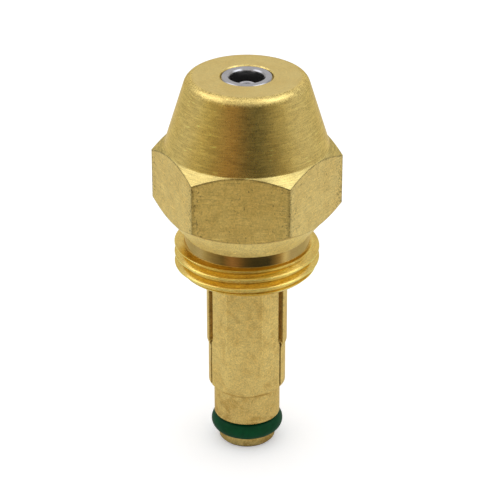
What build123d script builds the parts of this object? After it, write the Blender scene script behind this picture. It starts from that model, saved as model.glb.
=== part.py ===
"""Siphon oil burner nozzle: brass cap, steel orifice ring, steel distributor, brass stem, tail seal.

Millimetres, +Z up. The nozzle stands on its tail with the spray face up, and the origin is on
its axis at the tail end. A flat of the cap's hexagon and the middle flat of the stem face -Y.
"""

import os
from math import cos, radians, sin, sqrt, tan

from build123d import *

os.makedirs("parts", exist_ok=True)

# ---------------------------------------------------------------- driving dimensions
overall_length = 39.4  # tail end to spray face

# Cap, outside
hex_across_flats = 15.85
hex_height = 4.9  # along the corners
hex_edge_round = 0.1
cone_height = 6.95
cone_half_angle = 17.2
cone_foot_inset = 0.04  # from the flats in to the foot of the cone
face_round = 1.1  # where the cone meets the spray face
upper_chamfer_angle = 38.0  # below the cone, from level
lower_chamfer_angle = 35.0  # under the hexagon, from level
seat_half_angle = 38.0  # sealing cone under the hexagon, from the axis
neck_radius = 6.1
neck_length = 1.15

# Cap, male thread, 24 turns to the inch
body_thread_radius = 7.05
body_thread_length = 2.93
body_thread_pitch = 1.0583
body_thread_depth = 0.64
body_thread_crown = 0.07  # softened crest
body_thread_turn = 300.0  # degrees, where the thread starts
body_thread_end_chamfer = 0.75

# Cap, inside
bore_radius = 3.5
roof_thickness = 1.4
ring_hole_lip = 0.12  # small chamfer round the hole in the spray face
skirt_bore_radius = 4.3
skirt_bore_depth = 1.0
stem_thread_length = 6.85  # female thread
relief_radius = 4.15
relief_length = 1.0

# Stem thread, M8 x 1
stem_thread_radius = 3.97
stem_thread_pitch = 1.0
stem_thread_depth = 0.56
stem_thread_crown = 0.03
thread_clearance = 0.05  # radial, between the stem's thread and the cap's

# Orifice ring
ring_radius = 2.5
ring_fit = 0.01  # radial clearance in the cap
ring_recess = 0.05  # below the spray face
ring_chamfer = 0.15
ring_flange_radius = 3.47
ring_flange_thickness = 1.5
orifice_radius = 1.67
orifice_land = 1.2  # straight length of the orifice
orifice_lip = 0.14
ring_foot_land = 0.3  # straight bore under the inner cone

# Distributor
seat_gap = 0.02  # between the distributor's cone and the ring's, along the axis
distributor_radius = 2.9
distributor_length = 5.8  # of its full round, below the cone
cone_top_radius = 1.85
nose_foot_radius = 1.15
nose_tip_radius = 0.79
tip_depth = 0.9  # spray face down to the fuel tip
spigot_radius = 2.2
spigot_length = 0.8
fuel_orifice_radius = 0.42
fuel_orifice_length = 1.0
swirl_slot_count = 6
swirl_slot_width = 0.5
swirl_slot_depth = 0.45
swirl_slot_offset = 1.35  # from the axis to the middle of each slot

# Stem
tail_rim_thickness = 1.1
tail_rim_radius = 2.8
tail_chamfer = 0.25
groove_width = 1.95
shank_radius = 3.285
shank_length = 3.15
shoulder_blend = 0.35
lower_body_radius = 3.82
lower_body_length = 5.2  # with its chamfer
body_step_length = 0.3
upper_body_radius = 3.97
middle_flat_distance = 3.46
side_flat_distance = 3.68
side_flat_angle = 45.0
slot_angle = 63.5  # each air slot, from the middle flat
slot_width = 0.65
slot_floor_radius = 3.0
slot_tail_width = 0.3
slot_tail_floor_radius = 3.55
slot_runout = 0.6  # rise and fall of the sloping foot of the deep slots
thread_to_body_gap = 0.25  # plain stretch between the full round and the thread
stem_thread_engagement = 6.0
stem_neck_radius = 3.2
fuel_bore_radius = 1.0
fuel_bore_chamfer = 0.35
socket_clearance = 0.05  # round and under the distributor's spigot

# Tail seal
seal_section_radius = 0.875
seal_stretch_gap = 0.02  # between the seal's inside and the groove floor
seal_outer_radius = 3.59
seal_rest_gap = 0.02  # between the seal and the tail rim it rests on

# ---------------------------------------------------------------- places worked out from them
cap_top = overall_length
hex_flat_distance = hex_across_flats / 2
hex_corner_radius = hex_flat_distance / cos(radians(30))
cone_foot_radius = hex_flat_distance - cone_foot_inset
cone_foot_z = cap_top - cone_height
cone_head_radius = cone_foot_radius - cone_height * tan(radians(cone_half_angle))
hex_top_z = cone_foot_z - (hex_corner_radius - cone_foot_radius) * tan(radians(upper_chamfer_angle))
hex_foot_z = hex_top_z - hex_height
seat_top_z = hex_foot_z - (hex_corner_radius - cone_foot_radius) * tan(radians(lower_chamfer_angle))
seat_foot_z = seat_top_z - (cone_foot_radius - neck_radius) / tan(radians(seat_half_angle))
body_thread_top = seat_foot_z - neck_length
cap_foot = body_thread_top - body_thread_length

roof_z = cap_top - roof_thickness
ring_top = cap_top - ring_recess
ring_foot = roof_z - ring_flange_thickness
ring_cone_top = ring_top - orifice_land
ring_cone_foot = ring_foot + ring_foot_land
ring_cone_foot_radius = orifice_radius + ring_cone_top - ring_cone_foot

# The distributor's cone is the ring's 45 degree cone, moved down by the seat gap.
cone_shoulder_z = ring_cone_top - seat_gap - (distributor_radius - orifice_radius)
cone_crown_z = ring_cone_top - seat_gap - (cone_top_radius - orifice_radius)
distributor_foot = cone_shoulder_z - distributor_length
tip_z = cap_top - tip_depth
fuel_cone_top = tip_z - fuel_orifice_length

groove_foot = tail_rim_thickness
groove_top = groove_foot + groove_width
shoulder_z = groove_top + shank_length
lower_body_top = shoulder_z + lower_body_length
stem_top = distributor_foot
skirt_thread_foot = cap_foot + skirt_bore_depth
skirt_thread_top = skirt_thread_foot + stem_thread_length
body_end_z = skirt_thread_foot - thread_to_body_gap
stem_thread_foot = body_end_z + 2 * thread_to_body_gap
stem_thread_top = stem_thread_foot + stem_thread_engagement
slot_foot = lower_body_top + body_step_length
groove_floor_radius = seal_outer_radius - 2 * seal_section_radius - seal_stretch_gap
seal_ring_radius = seal_outer_radius - seal_section_radius
seal_z = groove_foot + seal_rest_gap + seal_section_radius
beyond = 0.5  # how far cutting shapes reach past the surfaces they cut
ridge_root = 0.05  # how deep a thread's ridge is sunk in its core
edge_band = 0.01  # how near in height an edge has to be to get picked
pilot_radius = bore_radius - beyond  # bore before its thread is cut
slot_angles = (slot_angle, 180 - slot_angle, 180 + slot_angle, -slot_angle)
side_flat_angles = (side_flat_angle, 180 - side_flat_angle, 180 + side_flat_angle, -side_flat_angle)


def radial_plane(angle):
    """The plane through the axis whose x runs out from it, at angle degrees from -Y towards +X."""
    outward = (sin(radians(angle)), -cos(radians(angle)), 0)
    return Plane(origin=(0, 0, 0), x_dir=outward, z_dir=(outward[1], -outward[0], 0))


def threaded_rod(crest_radius, depth, pitch, foot, top, crown, turn=0.0):
    """A right-hand 60 degree thread on its core, two turns longer than foot to top at each end."""
    flank = tan(radians(30))
    root_radius = crest_radius - depth
    sunk_radius = root_radius - ridge_root
    half_crest = pitch / 16 + crown * flank
    half_root = pitch / 16 + (crest_radius - sunk_radius) * flank
    start = foot - 2 * pitch
    length = top - foot + 4 * pitch
    with BuildPart() as rod:
        with BuildLine(Plane.XY.offset(start)) as helix:
            Helix(pitch=pitch, height=length, radius=crest_radius)
        with BuildSketch(Plane(origin=(0, 0, start), x_dir=(1, 0, 0), z_dir=(0, -1, 0))):
            with BuildLine():
                Polyline(
                    (sunk_radius, -half_root),
                    (crest_radius - crown, -half_crest),
                    (crest_radius, -half_crest + crown),
                    (crest_radius, half_crest - crown),
                    (crest_radius - crown, half_crest),
                    (sunk_radius, half_root),
                    close=True,
                )
            make_face()
        sweep(path=helix.line, is_frenet=True)
        with BuildSketch(Plane.XY.offset(start - pitch)):
            Circle(root_radius)
        extrude(amount=length + 2 * pitch)
    return rod.part.rotate(Axis.Z, turn)


# ---------------------------------------------------------------- cap
body_thread = threaded_rod(
    body_thread_radius,
    body_thread_depth,
    body_thread_pitch,
    cap_foot,
    body_thread_top,
    body_thread_crown,
    body_thread_turn,
)

cap_thread = threaded_rod(
    stem_thread_radius + thread_clearance,
    stem_thread_radius + thread_clearance - bore_radius,
    stem_thread_pitch,
    skirt_thread_foot,
    skirt_thread_top,
    stem_thread_crown,
)

with BuildPart() as female_thread:
    add(cap_thread)
    with BuildSketch(Plane.XY.offset(skirt_thread_foot - thread_to_body_gap)):
        Circle(relief_radius)
    extrude(amount=stem_thread_length + 2 * thread_to_body_gap, mode=Mode.INTERSECT)

with BuildPart() as thread_end:
    add(body_thread)
    with BuildSketch(Plane.XZ):
        with BuildLine():
            Polyline(
                (0, cap_foot),
                (body_thread_radius - body_thread_end_chamfer, cap_foot),
                (body_thread_radius + beyond, cap_foot + body_thread_end_chamfer + beyond),
                (body_thread_radius + beyond, body_thread_top),
                (0, body_thread_top),
                close=True,
            )
        make_face()
    revolve(axis=Axis.Z, mode=Mode.INTERSECT)

with BuildPart() as cap:
    with BuildSketch(Plane.XY.offset(body_thread_top)):
        RegularPolygon(hex_flat_distance, 6, major_radius=False)
    extrude(amount=cap_top - body_thread_top)
    fillet(cap.edges().filter_by(Axis.Z), radius=hex_edge_round)
    with BuildSketch(Plane.XZ):
        with BuildLine():
            Polyline(
                (0, body_thread_top),
                (neck_radius, body_thread_top),
                (neck_radius, seat_foot_z),
                (cone_foot_radius, seat_top_z),
                (hex_corner_radius, hex_foot_z),
                (hex_corner_radius, hex_top_z),
                (cone_foot_radius, cone_foot_z),
                (cone_head_radius, cap_top),
                (0, cap_top),
                close=True,
            )
        make_face()
    revolve(axis=Axis.Z, mode=Mode.INTERSECT)
    fillet(cap.faces().sort_by(Axis.Z)[-1].edges(), radius=face_round)
    add(thread_end.part)
    with BuildSketch(Plane.XZ):
        with BuildLine():
            Polyline(
                (0, cap_foot),
                (skirt_bore_radius, cap_foot),
                (skirt_bore_radius, skirt_thread_foot),
                (pilot_radius, skirt_thread_foot + skirt_bore_radius - pilot_radius),
                (pilot_radius, skirt_thread_top),
                (relief_radius, skirt_thread_top),
                (relief_radius, skirt_thread_top + relief_length),
                (bore_radius, skirt_thread_top + relief_length),
                (bore_radius, roof_z),
                (ring_radius + ring_fit, roof_z),
                (ring_radius + ring_fit, cap_top - ring_hole_lip),
                (ring_radius + ring_fit + ring_hole_lip, cap_top),
                (0, cap_top),
                close=True,
            )
        make_face()
    revolve(axis=Axis.Z, mode=Mode.SUBTRACT)
    add(female_thread.part, mode=Mode.SUBTRACT)

cap.part.label = "cap"
export_step(cap.part, "parts/cap.step")

# ---------------------------------------------------------------- orifice ring
with BuildPart() as orifice_ring:
    with BuildSketch(Plane.XZ):
        with BuildLine():
            Polyline(
                (orifice_radius, ring_cone_top),
                (orifice_radius, ring_top - orifice_lip),
                (orifice_radius + orifice_lip, ring_top),
                (ring_radius - ring_chamfer, ring_top),
                (ring_radius, ring_top - ring_chamfer),
                (ring_radius, roof_z),
                (ring_flange_radius, roof_z),
                (ring_flange_radius, ring_foot),
                (ring_cone_foot_radius, ring_foot),
                (ring_cone_foot_radius, ring_cone_foot),
                close=True,
            )
        make_face()
    revolve(axis=Axis.Z)

orifice_ring.part.label = "orifice_ring"
export_step(orifice_ring.part, "parts/orifice_ring.step")

# ---------------------------------------------------------------- distributor
cone_sum = cone_crown_z + cone_top_radius  # r + z is the same all along the 45 degree cone
swirl_floor_sum = cone_sum - swirl_slot_depth * sqrt(2)
swirl_reach = distributor_radius + swirl_slot_depth

with BuildPart() as swirl_slots:
    with BuildSketch(Plane.XZ):
        with BuildLine():
            Polyline(
                (nose_foot_radius, swirl_floor_sum - nose_foot_radius),
                (swirl_reach, swirl_floor_sum - swirl_reach),
                (swirl_reach, cone_sum),
                (nose_foot_radius, cone_sum),
                close=True,
            )
        make_face()
    revolve(axis=Axis.Z)
    with BuildSketch(Plane.XY.offset(swirl_floor_sum - swirl_reach)):
        with PolarLocations(0, swirl_slot_count):
            with Locations((swirl_reach / 2, swirl_slot_offset)):
                Rectangle(swirl_reach, swirl_slot_width)
    extrude(amount=swirl_reach + swirl_slot_depth * sqrt(2), mode=Mode.INTERSECT)

with BuildPart() as distributor:
    with BuildSketch(Plane.XZ):
        with BuildLine():
            Polyline(
                (fuel_bore_radius, distributor_foot - spigot_length),
                (spigot_radius, distributor_foot - spigot_length),
                (spigot_radius, distributor_foot),
                (distributor_radius, distributor_foot),
                (distributor_radius, cone_shoulder_z),
                (cone_top_radius, cone_crown_z),
                (nose_foot_radius, cone_crown_z),
                (nose_tip_radius, tip_z),
                (fuel_orifice_radius, tip_z),
                (fuel_orifice_radius, fuel_cone_top),
                (fuel_bore_radius, fuel_cone_top - fuel_bore_radius + fuel_orifice_radius),
                close=True,
            )
        make_face()
    revolve(axis=Axis.Z)
    add(swirl_slots.part, mode=Mode.SUBTRACT)

distributor.part.label = "distributor"
export_step(distributor.part, "parts/distributor.step")

# ---------------------------------------------------------------- stem
stem_root_radius = stem_thread_radius - stem_thread_depth
flute_reach = upper_body_radius + beyond
stem_end_reach = stem_thread_depth + beyond  # of the thread's 45 degree ends, past its crests

male_thread = threaded_rod(
    stem_thread_radius,
    stem_thread_depth,
    stem_thread_pitch,
    skirt_thread_foot,
    skirt_thread_top,
    stem_thread_crown,
)

# Everything that runs along the stem's body and its thread: the flats and the air slots.
with BuildPart() as flutes:
    for angle in (0, 180):
        with BuildSketch(radial_plane(angle)):
            with Locations((middle_flat_distance, shoulder_z)):
                Rectangle(flute_reach, stem_top - shoulder_z, align=(Align.MIN, Align.MIN))
        extrude(amount=flute_reach, both=True)
    for angle in side_flat_angles:
        with BuildSketch(radial_plane(angle)):
            with Locations((side_flat_distance, shoulder_z)):
                Rectangle(flute_reach, stem_top - shoulder_z, align=(Align.MIN, Align.MIN))
        extrude(amount=middle_flat_distance / 2, both=True)
    for angle in slot_angles:
        with BuildSketch(radial_plane(angle)):
            with BuildLine():
                Polyline(
                    (slot_floor_radius, slot_foot + slot_runout),
                    (flute_reach, slot_foot - slot_runout),
                    (flute_reach, stem_top),
                    (slot_floor_radius, stem_top),
                    close=True,
                )
            make_face()
        extrude(amount=slot_width / 2, both=True)
        with BuildSketch(radial_plane(angle)):
            with Locations((slot_tail_floor_radius, shoulder_z)):
                Rectangle(flute_reach, slot_foot - shoulder_z, align=(Align.MIN, Align.MIN))
        extrude(amount=slot_tail_width / 2, both=True)

with BuildPart() as stem_thread:
    add(male_thread)
    with BuildSketch(Plane.XZ):
        with BuildLine():
            Polyline(
                (0, stem_thread_foot),
                (stem_root_radius, stem_thread_foot),
                (stem_root_radius + stem_end_reach, stem_thread_foot + stem_end_reach),
                (stem_root_radius + stem_end_reach, stem_thread_top - stem_end_reach),
                (stem_root_radius, stem_thread_top),
                (0, stem_thread_top),
                close=True,
            )
        make_face()
    revolve(axis=Axis.Z, mode=Mode.INTERSECT)
    add(flutes.part, mode=Mode.SUBTRACT)

with BuildPart() as stem:
    with BuildSketch(Plane.XZ):
        with BuildLine():
            Polyline(
                (0, 0),
                (tail_rim_radius - tail_chamfer, 0),
                (tail_rim_radius, tail_chamfer),
                (tail_rim_radius, groove_foot),
                (groove_floor_radius, groove_foot),
                (groove_floor_radius, groove_top),
                (shank_radius, groove_top),
                (shank_radius, shoulder_z),
                (lower_body_radius, shoulder_z + lower_body_radius - shank_radius),
                (lower_body_radius, lower_body_top - body_step_length),
                (upper_body_radius, lower_body_top),
                (upper_body_radius, body_end_z),
                (stem_root_radius, body_end_z),
                (stem_root_radius, stem_thread_foot),
                (0, stem_thread_foot),
                close=True,
            )
        make_face()
    revolve(axis=Axis.Z)
    shoulder_corner = stem.edges().filter_by(GeomType.CIRCLE).filter_by_position(
        Axis.Z, shoulder_z - edge_band, shoulder_z + edge_band
    )
    fillet(shoulder_corner, shoulder_blend)
    add(flutes.part, mode=Mode.SUBTRACT)
    add(stem_thread.part)
    with BuildSketch(Plane.XY.offset(stem_thread_top)):
        Circle(stem_neck_radius)
    extrude(amount=stem_top - stem_thread_top)
    with BuildSketch(Plane.XZ):
        with BuildLine():
            Polyline(
                (0, 0),
                (fuel_bore_radius + fuel_bore_chamfer, 0),
                (fuel_bore_radius, fuel_bore_chamfer),
                (fuel_bore_radius, stem_top - spigot_length - socket_clearance),
                (spigot_radius + socket_clearance, stem_top - spigot_length - socket_clearance),
                (spigot_radius + socket_clearance, stem_top),
                (0, stem_top),
                close=True,
            )
        make_face()
    revolve(axis=Axis.Z, mode=Mode.SUBTRACT)

stem.part.label = "stem"
export_step(stem.part, "parts/stem.step")

# ---------------------------------------------------------------- tail seal
with BuildPart() as tail_seal:
    with BuildSketch(Plane.XZ):
        with Locations((seal_ring_radius, seal_z)):
            Circle(seal_section_radius)
    revolve(axis=Axis.Z)

tail_seal.part.label = "tail_seal"
export_step(tail_seal.part, "parts/tail_seal.step")
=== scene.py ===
import math

import bpy
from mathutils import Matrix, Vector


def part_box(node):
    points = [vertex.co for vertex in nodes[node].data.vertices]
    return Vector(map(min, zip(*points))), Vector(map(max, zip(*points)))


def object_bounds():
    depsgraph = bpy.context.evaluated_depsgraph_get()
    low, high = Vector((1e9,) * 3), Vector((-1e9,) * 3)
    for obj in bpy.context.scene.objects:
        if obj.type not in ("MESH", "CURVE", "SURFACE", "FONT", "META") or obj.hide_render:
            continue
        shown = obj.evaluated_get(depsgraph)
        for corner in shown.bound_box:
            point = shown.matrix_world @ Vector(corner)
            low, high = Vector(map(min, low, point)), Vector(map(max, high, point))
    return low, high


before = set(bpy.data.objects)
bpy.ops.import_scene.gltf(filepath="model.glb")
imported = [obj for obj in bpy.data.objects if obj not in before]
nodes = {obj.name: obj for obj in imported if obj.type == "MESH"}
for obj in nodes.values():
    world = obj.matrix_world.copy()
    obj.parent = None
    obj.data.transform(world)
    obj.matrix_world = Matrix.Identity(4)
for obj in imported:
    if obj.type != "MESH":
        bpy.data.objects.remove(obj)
cad_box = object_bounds()
scene = bpy.context.scene
low, high = cad_box
height = high.z - low.z

MM = 1000.0  # millimetres in a metre
DEGREES = 180 / math.pi  # degrees in a radian

# The finish of the metal: depths and reaches in millimetres.
EDGE_ROUNDING = 0.13  # how far the rounding, and the highlight and shade painted along it, reach in from an edge
STEEL_EDGE_WEAR = 0.05
SHADE_REACH = 0.45  # how near another surface has to be for painted shade to fall
RING_DEPTH, GRAIN_DEPTH, PIT_DEPTH, SCRATCH_DEPTH = 0.006, 0.009, 0.02, 0.004
STEEL_RING_DEPTH, RUBBER_GRAIN_DEPTH = 0.003, 0.008

# How much each mark darkens (below 0) or brightens brass.
GRAIN_SHADE, RING_SHADE, BLOTCH_SHADE = 1.2, 0.9, 0.45
# DASH_SHADE paints the dash marks light as glints; LINE_SHADE darkens the flats' streaks, partly as painted
# shade.
PIT_SHADE, SCRATCH_SHADE, DASH_SHADE, LINE_SHADE = -0.60, 0.16, 0.50, -0.55
# The last colour darkens brass where other surfaces are near, as painted shade.
AGED, STAINED, SHADE_TINT = (0.96, 0.93, 0.88, 1.0), (0.78, 0.70, 0.58, 1.0), (0.34, 0.22, 0.12, 1.0)
LEAST_ROUGH = 0.06

# Heights of the cap's surfaces, as shares of the cap's own height.
NECK_FOOT, SEAT_FOOT, SEAT_TOP, CONE_FOOT, FACE = 0.1463, 0.2021, 0.3165, 0.6534, 0.9985
CHAMFER_ANGLE = 38.0  # degrees from level, over the hexagon's corners
ZONE_BLEND = 0.04  # half the height, in millimetres, over which one zone turns into the next

# The cap's colours, and what each of its zones has of each finish.
CHAMFER_BRASS = (0.66, 0.52, 0.19, 1.0)
THREAD_BRASS = (0.88, 0.64, 0.185, 1.0)
BRASS_ABOVE = (  # neck, seat, hexagon, cone, face
    # The neck's brass is darker, as painted shade under the hexagon.
    (0.62, 0.45, 0.17, 1.0),
    (0.84, 0.67, 0.235, 1.0),
    (0.79, 0.615, 0.235, 1.0),
    (0.815, 0.62, 0.22, 1.0),
    (0.80, 0.635, 0.275, 1.0),
)
CAP_FINISH = {
    # chamfer, brow, thread, neck, seat, hexagon, cone, face
    "rough": (0.34, 0.30, 0.17, 0.12, 0.52, 0.42, 0.30, 0.36),
    "metallic": (1.0, 1.0, 1.0, 1.0, 0.35, 0.85, 1.0, 1.0),
    "lean": (0.0, 0.0, 0.0, 0.36, 0.0, 0.0, 0.0, 0.0),
    "grain": (1.2, 1.7, 0.95, 0.20, 1.45, 1.08, 0.80, 0.42),
    "marks": (1.50, 0.90, 0.60, 0.50, 0.30, 0.10, 1.25, 0.20),
    # short dash marks painted light as glints
    "glint_dashes": (0.0, 0.5, 0.0, 0.0, 0.0, 0.0, 1.0, 0.0),
    "pits": (0.15, 0.30, 0.30, 0.0, 0.20, 0.95, 0.0, 0.0),
    "scratches": (0.30, 0.0, 0.20, 0.20, 0.10, 1.70, 0.30, 0.10),
    "stains": (0.0, 0.0, 0.30, 0.20, 0.10, 0.25, 0.10, 0.10),
    # painted shade where other surfaces are near
    "painted_shade": (0.7, 0.5, 0.95, 0.7, 0.6, 0.8, 0.8, 0.8),
    # highlights painted along each edge; negative on the hexagon, painted shade along its edge
    "edges": (0.30, 0.20, 0.60, 0.20, 0.20, -0.60, 0.35, 0.20),
}
HEXAGON_ONLY = (0.0, 0.0, 0.0, 0.0, 0.0, 1.0, 0.0, 0.0)

# The stem's colours, the first darker as painted shade near the floor, and the share of the whole height over
# which the first turns into the second.
SHADED_STEM_BRASS, UPPER_STEM_BRASS, STEM_TURNS = (0.71, 0.515, 0.17, 1.0), (0.79, 0.595, 0.205, 1.0), (0.06, 0.24)
# The tail tint darkens the foot, up to TAIL_TOP of the height, as painted contact shadow.
TAIL_SHADOW_TINT, TAIL_TOP = (0.70, 0.72, 0.80, 1.0), 0.035
STEM_FINISH = {
    "shade_and_chip_lines": 0.0,
    "rough": 0.38,
    "metallic": 0.88,
    "lean": 0.0,
    "grain": 1.25,
    "marks": 0.20,
    "glint_dashes": 0.0,
    "pits": 0.35,
    "chips": 0.0,
    "scratches": 0.35,
    # painted shade where other surfaces are near
    "painted_shade": 1.0,
    # highlights painted along each edge
    "edges": 0.30,
}

# Colours that the metal mirrors from the card in front of the object, by azimuth: 0 is -Y and 90 is +X.
THREAD_MIRRORS = [
    (-75, 0.72, 0.68, 0.48),
    (-50, 0.74, 0.67, 0.38),
    (-35, 0.45, 0.37, 0.15),
    (-15, 0.26, 0.20, 0.08),
    (10, 0.18, 0.14, 0.06),
    (30, 0.30, 0.25, 0.10),
    (48, 0.85, 0.78, 0.48),
    (62, 1.00, 0.96, 0.72),
    (75, 0.85, 0.82, 0.62),
]
HEXAGON_MIRRORS = [
    (-75, 0.68, 0.64, 0.46),
    (-30, 0.56, 0.465, 0.165),
    (0, 0.55, 0.46, 0.155),
    (35, 0.51, 0.425, 0.13),
    (75, 0.70, 0.67, 0.48),
]
NECK_MIRRORS = [
    (-75, 0.62, 0.60, 0.45),
    (-55, 0.34, 0.29, 0.19),
    (-44, 0.26, 0.22, 0.14),
    (-36, 0.17, 0.135, 0.065),
    (-28, 0.30, 0.19, 0.10),
    (-20, 0.40, 0.235, 0.13),
    (-8, 0.24, 0.15, 0.075),
    (2, 0.10, 0.08, 0.05),
    (14, 0.06, 0.055, 0.04),
    (40, 0.05, 0.05, 0.04),
    (52, 0.24, 0.18, 0.10),
    (60, 0.45, 0.34, 0.19),
    (72, 1.00, 1.00, 0.85),
]
CONE_MIRRORS = [
    (-75, 0.62, 0.58, 0.40),
    (-60, 0.54, 0.50, 0.32),
    (-47, 0.43, 0.385, 0.23),
    (-36, 0.36, 0.29, 0.16),
    (-25, 0.36, 0.245, 0.13),
    (-15, 0.33, 0.215, 0.11),
    (-5, 0.20, 0.145, 0.08),
    (8, 0.115, 0.105, 0.07),
    (22, 0.125, 0.12, 0.08),
    (34, 0.20, 0.18, 0.12),
    (48, 0.36, 0.33, 0.22),
    (75, 0.56, 0.54, 0.43),
]


class Shader:
    """A node tree with short calls for the nodes used here."""

    def __init__(self, tree):
        self.tree = tree
        tree.nodes.clear()

    def node(self, kind, **settings):
        made = self.tree.nodes.new(kind)
        for name, value in settings.items():
            setattr(made, name, value)
        return made

    def put(self, socket, value):
        if isinstance(value, bpy.types.NodeSocket):
            self.tree.links.new(value, socket)
        else:
            socket.default_value = value

    def math(self, operation, a, b=0.0):
        made = self.node("ShaderNodeMath", operation=operation)
        for socket, value in zip(made.inputs, (a, b)):
            self.put(socket, value)
        return made.outputs[0]

    def times(self, a, b):
        return self.math("MULTIPLY", a, b)

    def plus(self, a, b):
        return self.math("ADD", a, b)

    def swing(self, noise, size):
        """A noise as a value about 0, times size."""
        return self.times(self.plus(noise, -0.5), size)

    def ramp(self, value, start, end, low_value=0.0, high_value=1.0):
        """Goes smoothly from low_value to high_value as value goes from start to end."""
        made = self.node("ShaderNodeMapRange", interpolation_type="SMOOTHSTEP", clamp=True)
        for socket, item in zip(made.inputs, (value, start, end, low_value, high_value)):
            self.put(socket, item)
        return made.outputs[0]

    def bands(self, value, first, steps, soft):
        """first below the lowest step, then each step's own value above its height."""
        made = first
        for at, item in steps:
            made = self.ramp(value, at - soft, at + soft, made, item)
        return made

    def mix(self, share, a, b, blend="MIX"):
        made = self.node("ShaderNodeMix", data_type="RGBA", blend_type=blend)
        self.put(made.inputs[0], share)
        self.put(made.inputs[6], a)
        self.put(made.inputs[7], b)
        return made.outputs[2]

    def tint(self, share, colour, by):
        """The colour, multiplied by another where share is 1."""
        return self.mix(share, colour, self.mix(1.0, colour, by, "MULTIPLY"))

    def scale(self, colour, factor):
        grey = self.node("ShaderNodeCombineColor")
        for socket in grey.inputs:
            self.put(socket, factor)
        return self.mix(1.0, colour, grey.outputs[0], "MULTIPLY")

    def join(self, x, y, z):
        made = self.node("ShaderNodeCombineXYZ")
        for socket, value in zip(made.inputs, (x, y, z)):
            self.put(socket, value)
        return made.outputs[0]

    def noise(self, where, size, detail=2.0, roughness=0.5, distortion=0.0):
        made = self.node("ShaderNodeTexNoise")
        self.put(made.inputs["Vector"], where)
        for name, value in (("Scale", size), ("Detail", detail), ("Roughness", roughness),
                            ("Distortion", distortion)):
            self.put(made.inputs[name], value)
        return made.outputs[0]

    def bump(self, relief, depth, strength, normal=None):
        """A relief of the given depth, in millimetres."""
        made = self.node("ShaderNodeBump")
        self.put(made.inputs["Height"], relief)
        self.put(made.inputs["Distance"], depth / MM)
        self.put(made.inputs["Strength"], strength)
        if normal is not None:
            self.put(made.inputs["Normal"], normal)
        return made.outputs[0]

    def bevel(self, reach):
        """The normal, rounded off this near to an edge, in millimetres."""
        made = self.node("ShaderNodeBevel", samples=4)
        self.put(made.inputs["Radius"], reach / MM)
        return made.outputs[0]

    def vector(self, operation, a, *others):
        made = self.node("ShaderNodeVectorMath", operation=operation)
        for socket, value in zip(made.inputs, (a, *others)):
            self.put(socket, value)
        return made

    def split(self, vector):
        made = self.node("ShaderNodeSeparateXYZ")
        self.put(made.inputs[0], vector)
        return made.outputs

    def place(self):
        """Where a point is, in millimetres: the position, its radius, its turn about the axis, x, y and z."""
        scaled = self.node("ShaderNodeVectorMath", operation="SCALE")
        self.put(scaled.inputs[0], self.node("ShaderNodeTexCoord").outputs["Object"])
        self.put(scaled.inputs["Scale"], MM)
        x, y, z = self.split(scaled.outputs[0])
        radius = self.math("SQRT", self.plus(self.times(x, x), self.times(y, y)))
        return scaled.outputs[0], radius, self.math("ARCTAN2", y, x), x, y, z


def new_material(name):
    material = bpy.data.materials.new(name)
    material.use_nodes = True
    return material, Shader(material.node_tree)


def dress(node, material):
    """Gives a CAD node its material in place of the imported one."""
    mesh = nodes[node].data
    mesh.materials.clear()
    mesh.materials.append(material)


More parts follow.
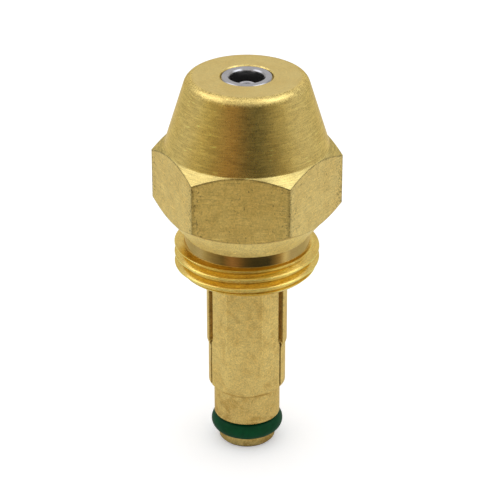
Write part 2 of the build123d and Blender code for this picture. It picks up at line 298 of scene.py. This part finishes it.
def brass(name, values):
    """Machined brass. values(shader, z, turn, up, radius) gives, by place and by how far the surface faces up:
    its colour and roughness, how metallic it is, how far its normal leans up, and how much it has of grain,
    tool marks, short dash marks painted light as glints, pits, chips by its corners, scratches, stains,
    painted shade where other surfaces are near, painted highlights along each edge (painted shade where
    negative), and dark streaks on its flats (painted shade under the chamfers' arcs, and chipped specks)."""
    material, s = new_material(name)
    where, radius, turn, x, y, z = s.place()
    facing = s.node("ShaderNodeNewGeometry").outputs["Normal"]
    has = values(s, z, turn, s.split(facing)[2], radius)
    out = s.node("ShaderNodeOutputMaterial")
    metal = s.node("ShaderNodeBsdfPrincipled")
    s.put(out.inputs["Surface"], metal.outputs[0])

    # Rings left by the tool: fine along the profile, long round the axis, with short dash marks in them
    # painted light as glints.
    fine_radius, fine_z = s.times(radius, 7.0), s.times(z, 7.0)
    rings = s.noise(s.join(fine_radius, fine_z, s.times(turn, 5.0)), 1.0, 3.0, 0.7)
    cloud = s.noise(where, 0.45, 4.0, 0.6)
    glint_dashes = s.noise(s.join(fine_radius, fine_z, s.times(turn, 6.5)), 1.0, 1.0, 0.4)
    glint_dashes = s.times(s.times(s.ramp(glint_dashes, 0.61, 0.73), s.ramp(cloud, 0.44, 0.60)), has["glint_dashes"])
    # Fine grain, and soft blotches of tarnish.
    grain = s.noise(where, 7.0, 3.0, 0.8)
    blotch = s.noise(where, 1.5, 5.0, 0.7, 0.5)
    stain = s.times(s.ramp(s.noise(where, 0.7, 5.0, 0.68, 0.8), 0.46, 0.64), has["stains"])
    # Pits, gathered where the clouds are and at the chipped corners.
    spots = s.plus(s.noise(where, 4.5, 2.0, 0.6), s.times(s.plus(has["chips"], -0.20), 0.10))
    chipped = s.times(has["chips"], s.ramp(blotch, 0.44, 0.58))
    gathered = s.math("MAXIMUM", s.ramp(cloud, 0.46, 0.60), chipped)
    pits = s.times(s.times(s.ramp(spots, 0.62, 0.68), gathered), has["pits"])
    # Handling scratches, mostly level, light and dark.
    scratches = s.noise(s.join(s.times(x, 0.55), s.times(y, 0.55), s.times(z, 9.0)), 1.2, 4.0, 0.7, 0.3)
    scratches = s.plus(s.ramp(scratches, 0.56, 0.68), s.ramp(scratches, 0.44, 0.32, 0.0, -1.0))
    scratches = s.times(scratches, has["scratches"])

    rounded = s.bevel(EDGE_ROUNDING)
    lean = s.vector("DOT_PRODUCT", rounded, facing).outputs["Value"]
    # Near each edge: with the edge marks this paints highlights there, and painted shade where they are
    # negative.
    edge = s.ramp(s.plus(lean, s.swing(blotch, 0.10)), 0.995, 0.93)
    # Painted shade: darker where other surfaces are near, as in thread roots, slots and corners; it also hides
    # the painted edge highlights there.
    open_air = s.node("ShaderNodeAmbientOcclusion", samples=6, only_local=False)
    open_air.inputs["Distance"].default_value = SHADE_REACH / MM
    crevice_shade = s.times(s.ramp(open_air.outputs["AO"], 0.72, 0.18), has["painted_shade"])
    edge = s.times(edge, s.plus(1.0, s.times(crevice_shade, -1.0)))
    # Dark streaks: painted shade under the chamfers' arcs, and chipped specks by the corners.
    shade_and_chip_lines = s.times(has["shade_and_chip_lines"], s.ramp(s.noise(where, 3.2, 4.0, 0.75), 0.36, 0.56))

    base = s.tint(s.ramp(cloud, 0.38, 0.66), has["colour"], AGED)
    base = s.tint(stain, base, STAINED)
    base = s.tint(crevice_shade, base, SHADE_TINT)
    shade = 1.0
    for mark in (
        s.swing(grain, s.times(has["grain"], GRAIN_SHADE)),
        s.swing(rings, s.times(has["marks"], RING_SHADE)),
        s.swing(blotch, s.times(has["grain"], BLOTCH_SHADE)),
        s.times(pits, PIT_SHADE),
        s.times(scratches, SCRATCH_SHADE),
        s.times(glint_dashes, DASH_SHADE),
        s.times(edge, has["edges"]),
        s.times(shade_and_chip_lines, LINE_SHADE),
    ):
        shade = s.times(shade, s.plus(1.0, mark))
    s.put(metal.inputs["Base Color"], s.scale(base, shade))
    metal.inputs["Specular Tint"].default_value = (1.0, 0.90, 0.62, 1.0)
    s.put(metal.inputs["Metallic"], has["metallic"])
    shine = s.plus(has["rough"], s.swing(blotch, s.times(has["grain"], 0.25)))
    shine = s.plus(shine, s.swing(grain, s.times(has["grain"], 0.30)))
    shine = s.plus(shine, s.times(edge, -0.08))
    s.put(metal.inputs["Roughness"], s.math("MAXIMUM", shine, LEAST_ROUGH))
    leaning = s.vector("ADD", rounded, s.join(0.0, 0.0, has["lean"])).outputs[0]
    normal = s.vector("NORMALIZE", leaning).outputs[0]
    normal = s.bump(rings, RING_DEPTH, s.times(has["marks"], 0.7), normal)
    normal = s.bump(grain, GRAIN_DEPTH, s.times(has["grain"], 0.8), normal)
    normal = s.bump(s.times(pits, -1.0), PIT_DEPTH, 0.6, normal)
    normal = s.bump(s.plus(scratches, glint_dashes), SCRATCH_DEPTH, 0.5, normal)
    s.put(metal.inputs["Normal"], normal)
    return material


cap_low, cap_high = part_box("cap")


def cap_height(share):
    return (cap_low.z + share * (cap_high.z - cap_low.z)) * MM


def cap_values(s, z, turn, up, radius):
    steps = [cap_height(share) for share in (NECK_FOOT, SEAT_FOOT, SEAT_TOP, CONE_FOOT, FACE)]
    # The chamfers over the hexagon's corners, and the brow, the round between the cone and the spray face.
    chamfer = s.times(s.ramp(up, 0.45, 0.62), s.ramp(up, 0.93, 0.88))
    chamfer = s.times(chamfer, s.ramp(z, cap_height(0.55), cap_height(0.58)))
    chamfer = s.times(chamfer, s.ramp(z, cap_height(0.665), cap_height(0.655)))
    brow = s.times(s.ramp(up, 0.33, 0.45), s.ramp(up, 0.99, 0.96))
    brow = s.times(brow, s.ramp(z, cap_height(0.90), cap_height(0.93)))

    def zones(on_chamfer, on_brow, thread, *above):
        value = s.bands(z, thread, list(zip(steps, above)), ZONE_BLEND)
        return s.ramp(brow, 0.0, 1.0, s.ramp(chamfer, 0.0, 1.0, value, on_chamfer), on_brow)

    colour = THREAD_BRASS
    for at, above in zip(steps, BRASS_ABOVE):
        colour = s.mix(s.ramp(z, at - ZONE_BLEND, at + ZONE_BLEND), colour, above)
    colour = s.mix(chamfer, colour, CHAMFER_BRASS)
    # Chips gather by the hexagon's six upright corners, where this cosine is -1.
    corner = s.math("COSINE", s.times(s.plus(turn, math.pi / 2), 6.0))
    chips = s.times(s.ramp(corner, -0.62, -0.98), zones(*HEXAGON_ONLY))
    # Dark streaks on the flats: painted shade under the arcs where the chamfers cut them, and chipped specks
    # beside the corners.
    under_arc = s.times(s.plus(radius, -cap_high.y * MM), -math.tan(math.radians(CHAMFER_ANGLE)))
    under_arc = s.plus(s.plus(under_arc, cap_height(CONE_FOOT)), s.times(z, -1.0))
    corner_radius = cap_high.x * MM
    by_corner = s.ramp(radius, corner_radius - 0.16, corner_radius - 0.05, 0.0, 0.6)
    shade_and_chip_lines = s.math("MAXIMUM", s.ramp(under_arc, 0.24, 0.06), by_corner)
    finish = {name: zones(*row) for name, row in CAP_FINISH.items()}
    return {**finish, "colour": colour, "shade_and_chip_lines": s.times(shade_and_chip_lines, zones(*HEXAGON_ONLY)), "chips": chips}


def stem_values(s, z, turn, up, radius):
    whole = height * MM
    # The lower stem is darker, as painted shade near the floor.
    rise = s.ramp(z, STEM_TURNS[0] * whole, STEM_TURNS[1] * whole)
    colour = s.mix(rise, SHADED_STEM_BRASS, UPPER_STEM_BRASS)
    # The foot is tinted darker, as painted contact shadow.
    tail = s.mix(1.0, colour, TAIL_SHADOW_TINT, "MULTIPLY")
    colour = s.mix(s.ramp(z, 0.0, TAIL_TOP * whole), tail, colour)
    return {**STEM_FINISH, "colour": colour, "stains": s.ramp(rise, 0.0, 1.0, 1.1, 0.6)}


def steel(name, colour, rough, deepest, shallowest, wide, tip=None):
    """Polished steel, darkened with painted shade in its bore from deepest up to shallowest, within the radius
    wide, and painted light as a highlight above the height tip, and then also darkened round the axis with
    painted shade (all in mm)."""
    material, s = new_material(name)
    where, radius, turn, x, y, z = s.place()
    out = s.node("ShaderNodeOutputMaterial")
    metal = s.node("ShaderNodeBsdfPrincipled")
    s.put(out.inputs["Surface"], metal.outputs[0])
    rings = s.noise(s.join(s.times(radius, 14.0), s.times(z, 14.0), s.times(turn, 2.0)), 1.0, 2.0, 0.6)
    cloud = s.noise(where, 1.2, 3.0, 0.6)
    shade = s.times(s.ramp(cloud, 0.35, 0.70, 1.0, 0.88), s.ramp(rings, 0.3, 0.7, 0.96, 1.04))
    # Painted shade in the bore.
    bore_shade = s.times(s.ramp(z, shallowest, shallowest - 0.2), s.ramp(z, deepest - 0.1, deepest + 0.1))
    bore_shade = s.times(bore_shade, s.ramp(radius, wide, wide - 0.1))
    shade = s.times(shade, s.ramp(bore_shade, 0.0, 1.0, 1.0, 0.09))
    matt = bore_shade
    if tip is not None:
        # A painted highlight on the tip, and painted shade round its middle.
        tip_highlight = s.ramp(z, tip - 0.05, tip)
        shade = s.times(shade, s.ramp(tip_highlight, 0.0, 1.0, 1.0, 1.45))
        shade = s.times(shade, s.ramp(radius, 0.45, 0.60, 0.6, 1.0))
        matt = s.math("MAXIMUM", tip_highlight, bore_shade)
    s.put(metal.inputs["Base Color"], s.scale(colour, shade))
    s.put(metal.inputs["Metallic"], s.ramp(matt, 0.0, 1.0, 1.0, 0.2))
    s.put(metal.inputs["Roughness"], s.ramp(rings, 0.3, 0.7, rough * 0.8, rough * 1.3))
    s.put(metal.inputs["Normal"], s.bump(rings, STEEL_RING_DEPTH, 0.5, s.bevel(STEEL_EDGE_WEAR)))
    return material


def green_rubber(name):
    material, s = new_material(name)
    where = s.place()[0]
    out = s.node("ShaderNodeOutputMaterial")
    rubber = s.node("ShaderNodeBsdfPrincipled")
    s.put(out.inputs["Surface"], rubber.outputs[0])
    cloud = s.noise(where, 1.1, 3.0, 0.6)
    grain = s.noise(where, 9.0, 3.0, 0.7)
    base = s.mix(s.ramp(cloud, 0.3, 0.7), (0.0013, 0.058, 0.0180, 1.0), (0.0016, 0.043, 0.0140, 1.0))
    dust = s.ramp(s.noise(where, 6.0, 5.0, 0.75), 0.62, 0.80, 0.0, 0.25)
    s.put(rubber.inputs["Base Color"], s.mix(dust, base, (0.03, 0.08, 0.05, 1.0)))
    s.put(rubber.inputs["Roughness"], s.ramp(grain, 0.3, 0.7, 0.38, 0.52))
    rubber.inputs["IOR"].default_value = 1.5
    rubber.inputs["Specular IOR Level"].default_value = 0.09
    s.put(rubber.inputs["Normal"], s.bump(grain, RUBBER_GRAIN_DEPTH, 0.5))
    return material


ring_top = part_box("orifice_ring")[1].z * MM
nose_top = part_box("distributor")[1].z * MM
dress("cap", brass("cap_brass", cap_values))
dress("stem", brass("stem_brass", stem_values))
dress("orifice_ring", steel(
    "ring_steel", (0.46, 0.445, 0.455, 1.0), 0.15,
    deepest=ring_top - 2.2, shallowest=ring_top - 0.14, wide=1.82,
))
dress("distributor", steel(
    "distributor_steel", (0.62, 0.605, 0.63, 1.0), 0.17,
    deepest=nose_top - 1.7, shallowest=nose_top - 0.04, wide=1.75, tip=nose_top - 0.06,
))
dress("tail_seal", green_rubber("seal_rubber"))


# Floor: the camera sees it lifted to white, and it keeps the object's shadow. The metal mirrors it greyer.
FLOOR_WHITE, FLOOR_LIFT = (0.915, 0.92, 0.935, 1.0), 0.26
NEAR_MIRRORED, FAR_MIRRORED, MIRROR_TURNS = (0.80, 0.81, 0.84, 1.0), (0.60, 0.60, 0.54, 1.0), (70, 220)
reach = height * 60
corners = [(-reach, -reach), (reach, -reach), (reach, reach), (-reach, reach)]
floor_mesh = bpy.data.meshes.new("floor")
floor_mesh.from_pydata([(a, b, low.z) for a, b in corners], [], [(0, 1, 2, 3)])
floor = bpy.data.objects.new("floor", floor_mesh)
scene.collection.objects.link(floor)
material, s = new_material("floor_white")
out = s.node("ShaderNodeOutputMaterial")
matt = s.node("ShaderNodeBsdfDiffuse")
ray = s.node("ShaderNodeLightPath")
mirrored_floor = s.mix(s.ramp(s.place()[1], *MIRROR_TURNS), NEAR_MIRRORED, FAR_MIRRORED)
s.put(matt.inputs["Color"], s.mix(ray.outputs["Is Glossy Ray"], FLOOR_WHITE, mirrored_floor))
lift = s.node("ShaderNodeEmission")
s.put(lift.inputs["Strength"], s.times(ray.outputs["Is Camera Ray"], FLOOR_LIFT))
both = s.node("ShaderNodeAddShader")
s.put(both.inputs[0], matt.outputs[0])
s.put(both.inputs[1], lift.outputs[0])
s.put(out.inputs["Surface"], both.outputs[0])
floor_mesh.materials.append(material)


# Room: plain white light for matt surfaces, and softboxes in a greyer room for what the metal mirrors.
ROOM, OVER_BOX, BACK_BOX = (0.62, 0.62, 0.60, 1.0), (0.95, 0.95, 0.93, 1.0), (0.76, 0.76, 0.77, 1.0)
LEFT_BOX, RIGHT_BOX = (1.80, 1.84, 1.95, 1.0), (2.0, 2.1, 2.25, 1.0)
WHITE, DIMMED_FRONT = (1.0, 1.0, 1.0, 1.0), (0.75, 0.75, 0.75, 1.0)
world = bpy.data.worlds.new("studio")
world.use_nodes = True
world.cycles.sampling_method = "NONE"
scene.world = world
s = Shader(world.node_tree)
dx, dy, dz = s.split(s.node("ShaderNodeTexCoord").outputs["Generated"])
azimuth = s.times(s.math("ARCTAN2", dx, s.times(dy, -1.0)), DEGREES)
elevation = s.times(s.math("ARCSINE", dz), DEGREES)


def window(value, centre, half, soft):
    """1 within half a width of the centre and 0 beyond it, all in degrees."""
    away = s.math("ABSOLUTE", s.plus(value, -centre))
    return s.ramp(away, half - soft, half + soft, 1.0, 0.0)


left_box = s.times(window(azimuth, -95, 34, 14), window(elevation, 52, 17, 9))
right_box = s.times(window(azimuth, 88, 34, 14), window(elevation, 58, 17, 9))
over_box = window(elevation, 90, 27, 10)
back_box = s.times(s.ramp(s.math("ABSOLUTE", azimuth), 130, 160), window(elevation, 30, 16, 10))
mirrored = s.mix(s.times(over_box, 0.9), ROOM, OVER_BOX)
mirrored = s.mix(back_box, mirrored, BACK_BOX)
mirrored = s.mix(left_box, mirrored, LEFT_BOX)
mirrored = s.mix(right_box, mirrored, RIGHT_BOX)
seen = s.node("ShaderNodeLightPath")
sky = s.node("ShaderNodeBackground")
front = s.times(window(azimuth, 4, 50, 20), s.ramp(elevation, 60, 35))
front = s.times(front, s.math("SUBTRACT", 1.0, seen.outputs["Is Camera Ray"]))
soft = s.mix(front, WHITE, DIMMED_FRONT)
s.put(sky.inputs["Color"], s.mix(seen.outputs["Is Glossy Ray"], soft, mirrored))
out = s.node("ShaderNodeOutputWorld")
s.put(out.inputs["Surface"], sky.outputs[0])


def front_card(name, distance, top, half_angle, levels, across=48):
    """A curved card in front of the object that only the metal's reflections see.
    levels are (from height in mm, to height in mm, stops), where the colours turn into the next level's
    between the heights, and each stop is (azimuth, red, green, blue), azimuth 0 being -Y and 90 being +X."""
    points = []
    for i in range(across + 1):
        a = math.radians(half_angle * (2 * i / across - 1))
        for z in (low.z, top):
            points.append((distance * math.sin(a), -distance * math.cos(a), z))
    faces = [(2 * i, 2 * i + 2, 2 * i + 3, 2 * i + 1) for i in range(across)]
    mesh = bpy.data.meshes.new(name)
    mesh.from_pydata(points, [], faces)
    placed = bpy.data.objects.new(name, mesh)
    scene.collection.objects.link(placed)
    placed.visible_camera = False
    placed.visible_diffuse = False
    placed.visible_shadow = False
    placed.visible_transmission = False
    paint, shader = new_material(name)
    paint.cycles.emission_sampling = "NONE"
    x, y, z = shader.split(shader.node("ShaderNodeTexCoord").outputs["Object"])
    turn = shader.times(shader.math("ARCTAN2", x, shader.times(y, -1.0)), DEGREES)
    share = shader.math("DIVIDE", shader.plus(turn, half_angle), 2.0 * half_angle)
    colour = None
    for from_height, to_height, colours in levels:
        stripes = shader.node("ShaderNodeValToRGB")
        shader.put(stripes.inputs["Fac"], share)
        stops = stripes.color_ramp.elements
        while len(stops) < len(colours):
            stops.new(1.0)
        for stop, (at, *rgb) in zip(stops, colours):
            stop.position = (at + half_angle) / (2 * half_angle)
            stop.color = (*rgb, 1.0)
        if colour is None:
            colour = stripes.outputs["Color"]
        else:
            pick = shader.ramp(z, from_height / MM, to_height / MM)
            colour = shader.mix(pick, colour, stripes.outputs["Color"])
    glow = shader.node("ShaderNodeEmission")
    shader.put(glow.inputs["Color"], colour)
    clear = shader.node("ShaderNodeBsdfTransparent")
    fade_end = shader.ramp(shader.math("ABSOLUTE", turn), half_angle * 0.80, half_angle, 1.0, 0.0)
    fade_top = shader.ramp(z, top * 0.80, top, 1.0, 0.0)
    pick = shader.node("ShaderNodeMixShader")
    shader.put(pick.inputs[0], shader.times(fade_end, fade_top))
    shader.put(pick.inputs[1], clear.outputs[0])
    shader.put(pick.inputs[2], glow.outputs[0])
    output = shader.node("ShaderNodeOutputMaterial")
    shader.put(output.inputs["Surface"], pick.outputs[0])
    mesh.materials.append(paint)


front_card("front_card", height * 1.1, height * 1.9, 82, [
    (0, 0, THREAD_MIRRORS),
    (5.5, 7.5, HEXAGON_MIRRORS),
    (18, 23, NECK_MIRRORS),
    (30.5, 33.5, CONE_MIRRORS),
])


# Camera: where it stands and looks, in metres and degrees.
EYE_DISTANCE, EYE_HEIGHT = 0.1878, 0.11835
VIEW_TURN, EYE_TILT, AIM_OFFSET = math.radians(4.13), math.radians(27.40), math.radians(0.0913)
camera = bpy.data.cameras.new("camera")
camera.sensor_width = 36.0
camera.lens = 156.3
camera.clip_start = 0.01
camera.clip_end = 20.0
eye = bpy.data.objects.new("camera", camera)
scene.collection.objects.link(eye)
eye.location = (EYE_DISTANCE * math.sin(VIEW_TURN), -EYE_DISTANCE * math.cos(VIEW_TURN), EYE_HEIGHT)
eye.rotation_euler = (math.pi / 2 - EYE_TILT, 0.0, VIEW_TURN - AIM_OFFSET)
scene.camera = eye
scene.view_settings.view_transform = "Standard"
